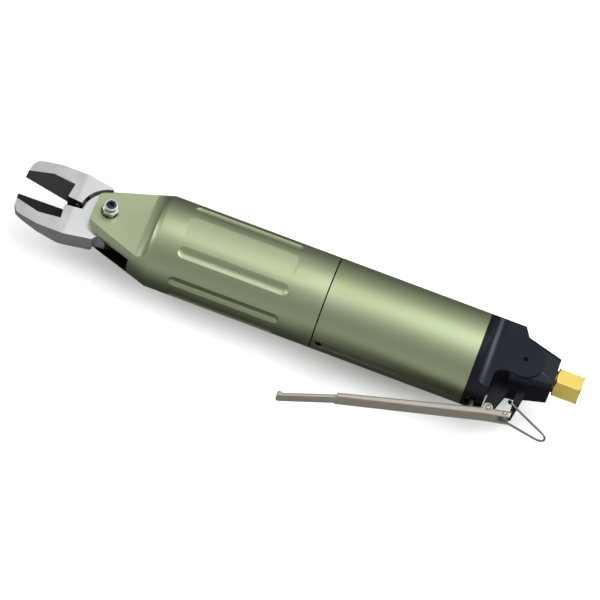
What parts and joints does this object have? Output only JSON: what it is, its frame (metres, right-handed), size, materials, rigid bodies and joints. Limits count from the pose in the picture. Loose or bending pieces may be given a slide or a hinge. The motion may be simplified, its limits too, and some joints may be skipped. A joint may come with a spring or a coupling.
{
  "type": "air nipper",
  "caption": "Hand-held air nipper: a round fluted body with a squeeze lever, whose piston and wedge close a pair of flush-cutting blades to snip plastic sprues or soft wire",
  "frame": {"origin": "On the tool's axis, in the middle of the plain band in front of the seam, where a bracket clamps the body.", "axes": "+X runs along the tool from the jaws to the air inlet, +Y points away from the lever, and +Z is the normal of the blades' upper side: the tool lies on its side."},
  "size_m": [0.2985, 0.0845, 0.048],
  "materials": {
    "sage_anodised": "satin anodised, sage green",
    "black_anodised": "satin anodised, black",
    "tool_steel": "ground tool steel",
    "dark_steel": "oiled steel",
    "nickel_steel": "nickel-plated pressed steel",
    "spring_steel": "drawn wire",
    "bare_aluminium": "turned",
    "brass": "turned",
    "seal_rubber": "smooth"
  },
  "bodies": {
    "housing": {"front_body": "sage_anodised", "rear_body": "sage_anodised", "centre_bulkhead": "bare_aluminium", "bulkhead_seals": "seal_rubber", "rod_seal": "seal_rubber", "valve_head": "black_anodised", "head_seal": "seal_rubber", "inlet_bushing": "brass", "inlet_screen": "brass", "grub_screw": "dark_steel", "spring_pin": "dark_steel", "pivot_bolt": "dark_steel", "pivot_washer": "tool_steel", "pivot_nut": "dark_steel", "jaw_spring": "spring_steel", "return_spring": "spring_steel", "valve_bush": "brass", "valve_spring": "spring_steel", "valve_cap": "dark_steel", "lever_pin": "tool_steel"},
    "drive": {"wedge": "tool_steel", "wedge_pin": "dark_steel", "piston_rod": "tool_steel", "front_piston": "bare_aluminium", "rear_piston": "bare_aluminium", "front_piston_seal": "seal_rubber", "rear_piston_seal": "seal_rubber", "rod_nut": "dark_steel"},
    "upper_blade": {"upper_jaw": "tool_steel"},
    "lower_blade": {"lower_jaw": "tool_steel"},
    "squeeze_lever": {"lever": "nickel_steel", "wire_pin": "tool_steel"},
    "valve": {"valve_stem": "tool_steel", "valve_ring": "seal_rubber"},
    "safety_wire": {"lock_wire": "spring_steel"}
  },
  "joints": [
    {"name": "piston_slide", "type": "slide", "parent": "housing", "child": "drive", "axis": [-1, 0, 0], "range_m": [0, 0.014], "stiffness_N_per_m": 2000, "springref_m": -0.004, "deforming": ["return_spring", "jaw_spring"]},
    {"name": "upper_jaw_pivot", "type": "hinge", "parent": "housing", "child": "upper_blade", "pos_m": [-0.10775, 0, 0], "axis": [0, 0, 1], "range_deg": [0, 6.35]},
    {"name": "lower_jaw_pivot", "type": "hinge", "parent": "housing", "child": "lower_blade", "pos_m": [-0.10775, 0, 0], "axis": [0, 0, -1], "range_deg": [0, 6.35]},
    {"name": "lever_pivot", "type": "hinge", "parent": "housing", "child": "squeeze_lever", "pos_m": [0.10325, -0.0258, 0], "axis": [0, 0, -1], "range_deg": [0, 14], "stiffness_Nm_per_rad": 0.5, "springref_deg": -5.73, "deforming": ["valve_spring"]},
    {"name": "valve_stem_slide", "type": "slide", "parent": "housing", "child": "valve", "axis": [0, 1, 0], "range_m": [0, 0.0024]},
    {"name": "lock_wire_swing", "type": "hinge", "parent": "squeeze_lever", "child": "safety_wire", "pos_m": [0.11185, -0.0256, 0], "axis": [0, 0, 1], "range_deg": [-60, 2]}
  ],
  "couplings": [
    {"joint": "upper_jaw_pivot", "follows": "piston_slide", "rad_per_m": 7.85},
    {"joint": "lower_jaw_pivot", "follows": "piston_slide", "rad_per_m": 7.85},
    {"joint": "valve_stem_slide", "follows": "lever_pivot", "m_per_rad": 0.0091}
  ]
}
